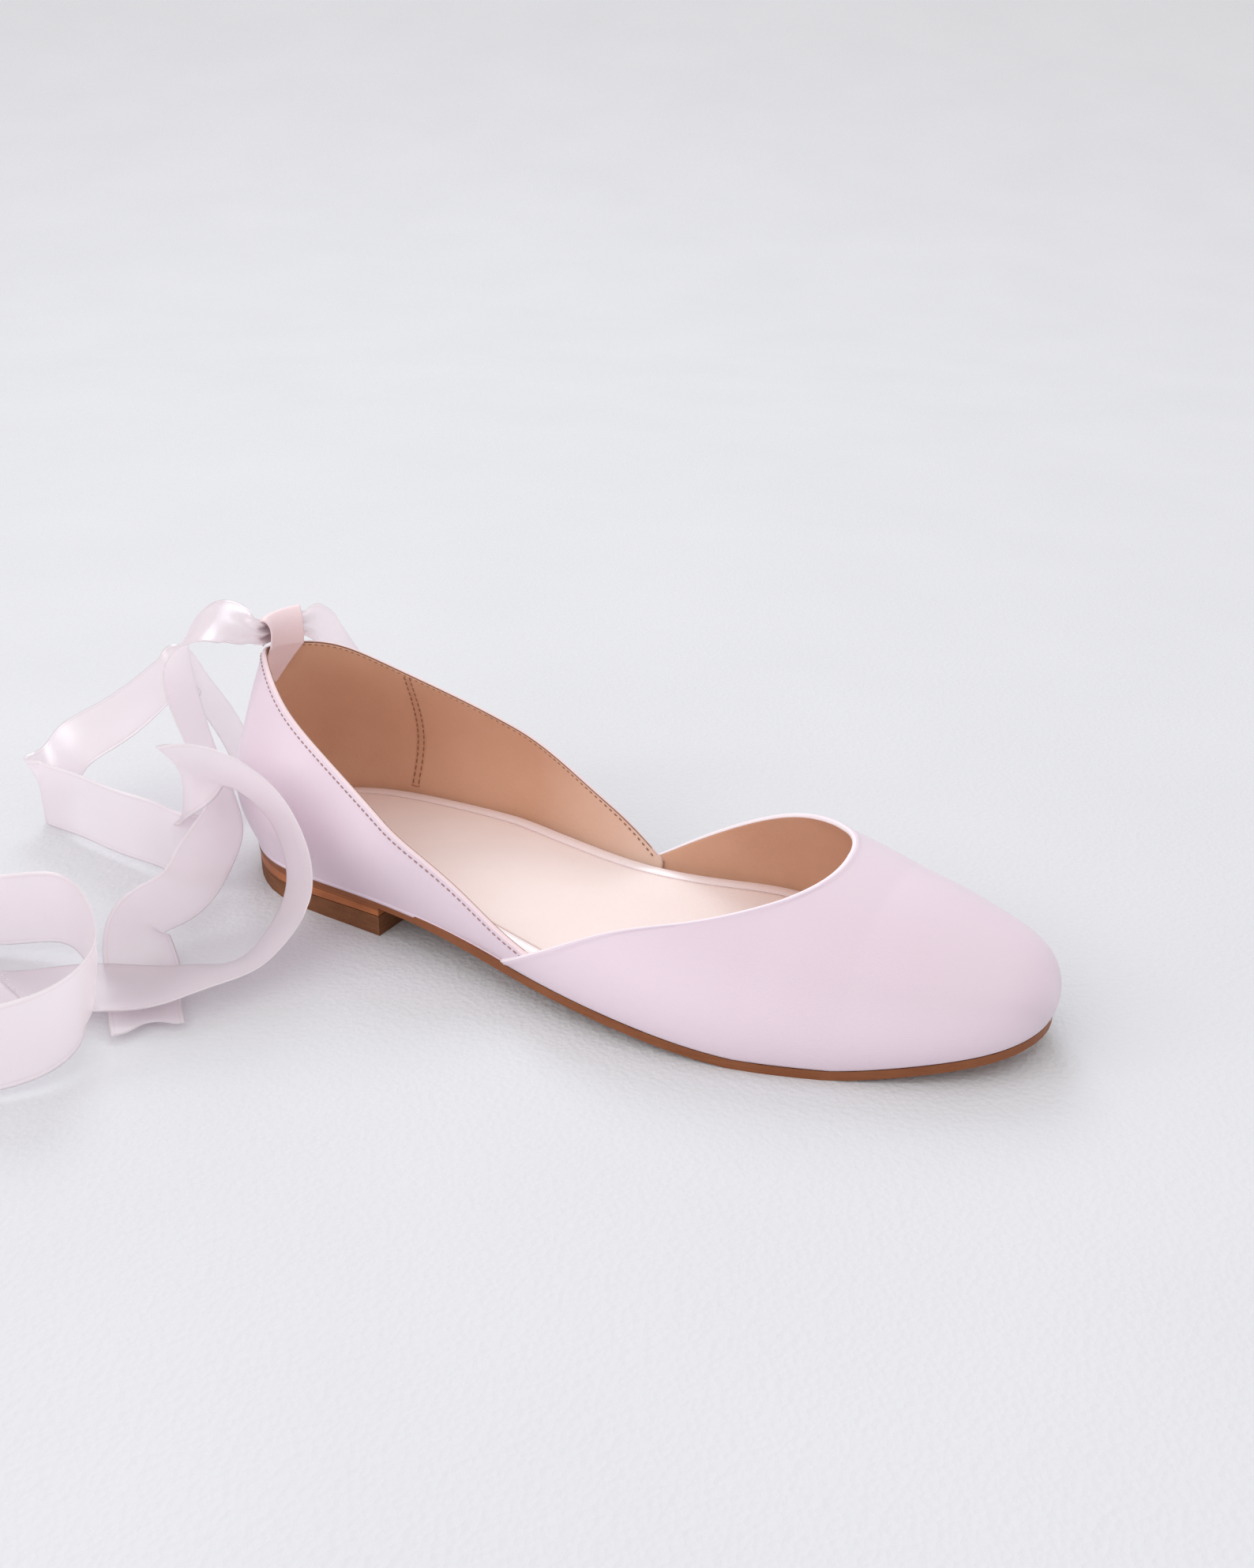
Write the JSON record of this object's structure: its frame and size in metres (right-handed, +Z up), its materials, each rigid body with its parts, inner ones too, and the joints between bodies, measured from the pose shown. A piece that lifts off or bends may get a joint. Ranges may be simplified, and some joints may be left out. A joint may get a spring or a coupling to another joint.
{
  "type": "ballet flat",
  "caption": "Satin D'Orsay ballet flat with a rounded toe, open sides, a low stacked heel and a ribbon tie through a loop at the heel.",
  "frame": {"origin": "middle of the shoe's box, on the floor it stands on, ribbons left out", "axes": "+X towards the toe, +Y towards the inner side of the foot, +Z up"},
  "size_m": [0.3296, 0.2042, 0.0795],
  "materials": {
    "satin": "pale pink-lilac shoe satin, soft sheen",
    "satin_trim": "pale pink satin, folded",
    "ribbon": "glossy single-face satin ribbon with a woven edge",
    "lining": "smooth nude lining leather",
    "insole_leather": "smooth beige-pink leather",
    "sole_leather": "waxed red-brown sole leather",
    "stacked_leather": "stacked leather with fine level layers",
    "lift_rubber": "matt dark brown",
    "thread": "dusty pink sewing thread"
  },
  "bodies": {
    "root": {"outsole": "sole_leather", "heel_stack": "stacked_leather", "heel_top_lift": "lift_rubber", "insole": "insole_leather", "upper": "satin", "heel_loop": "satin_trim", "ribbon_outer": "ribbon", "ribbon_inner": "ribbon"}
  },
  "joints": []
}
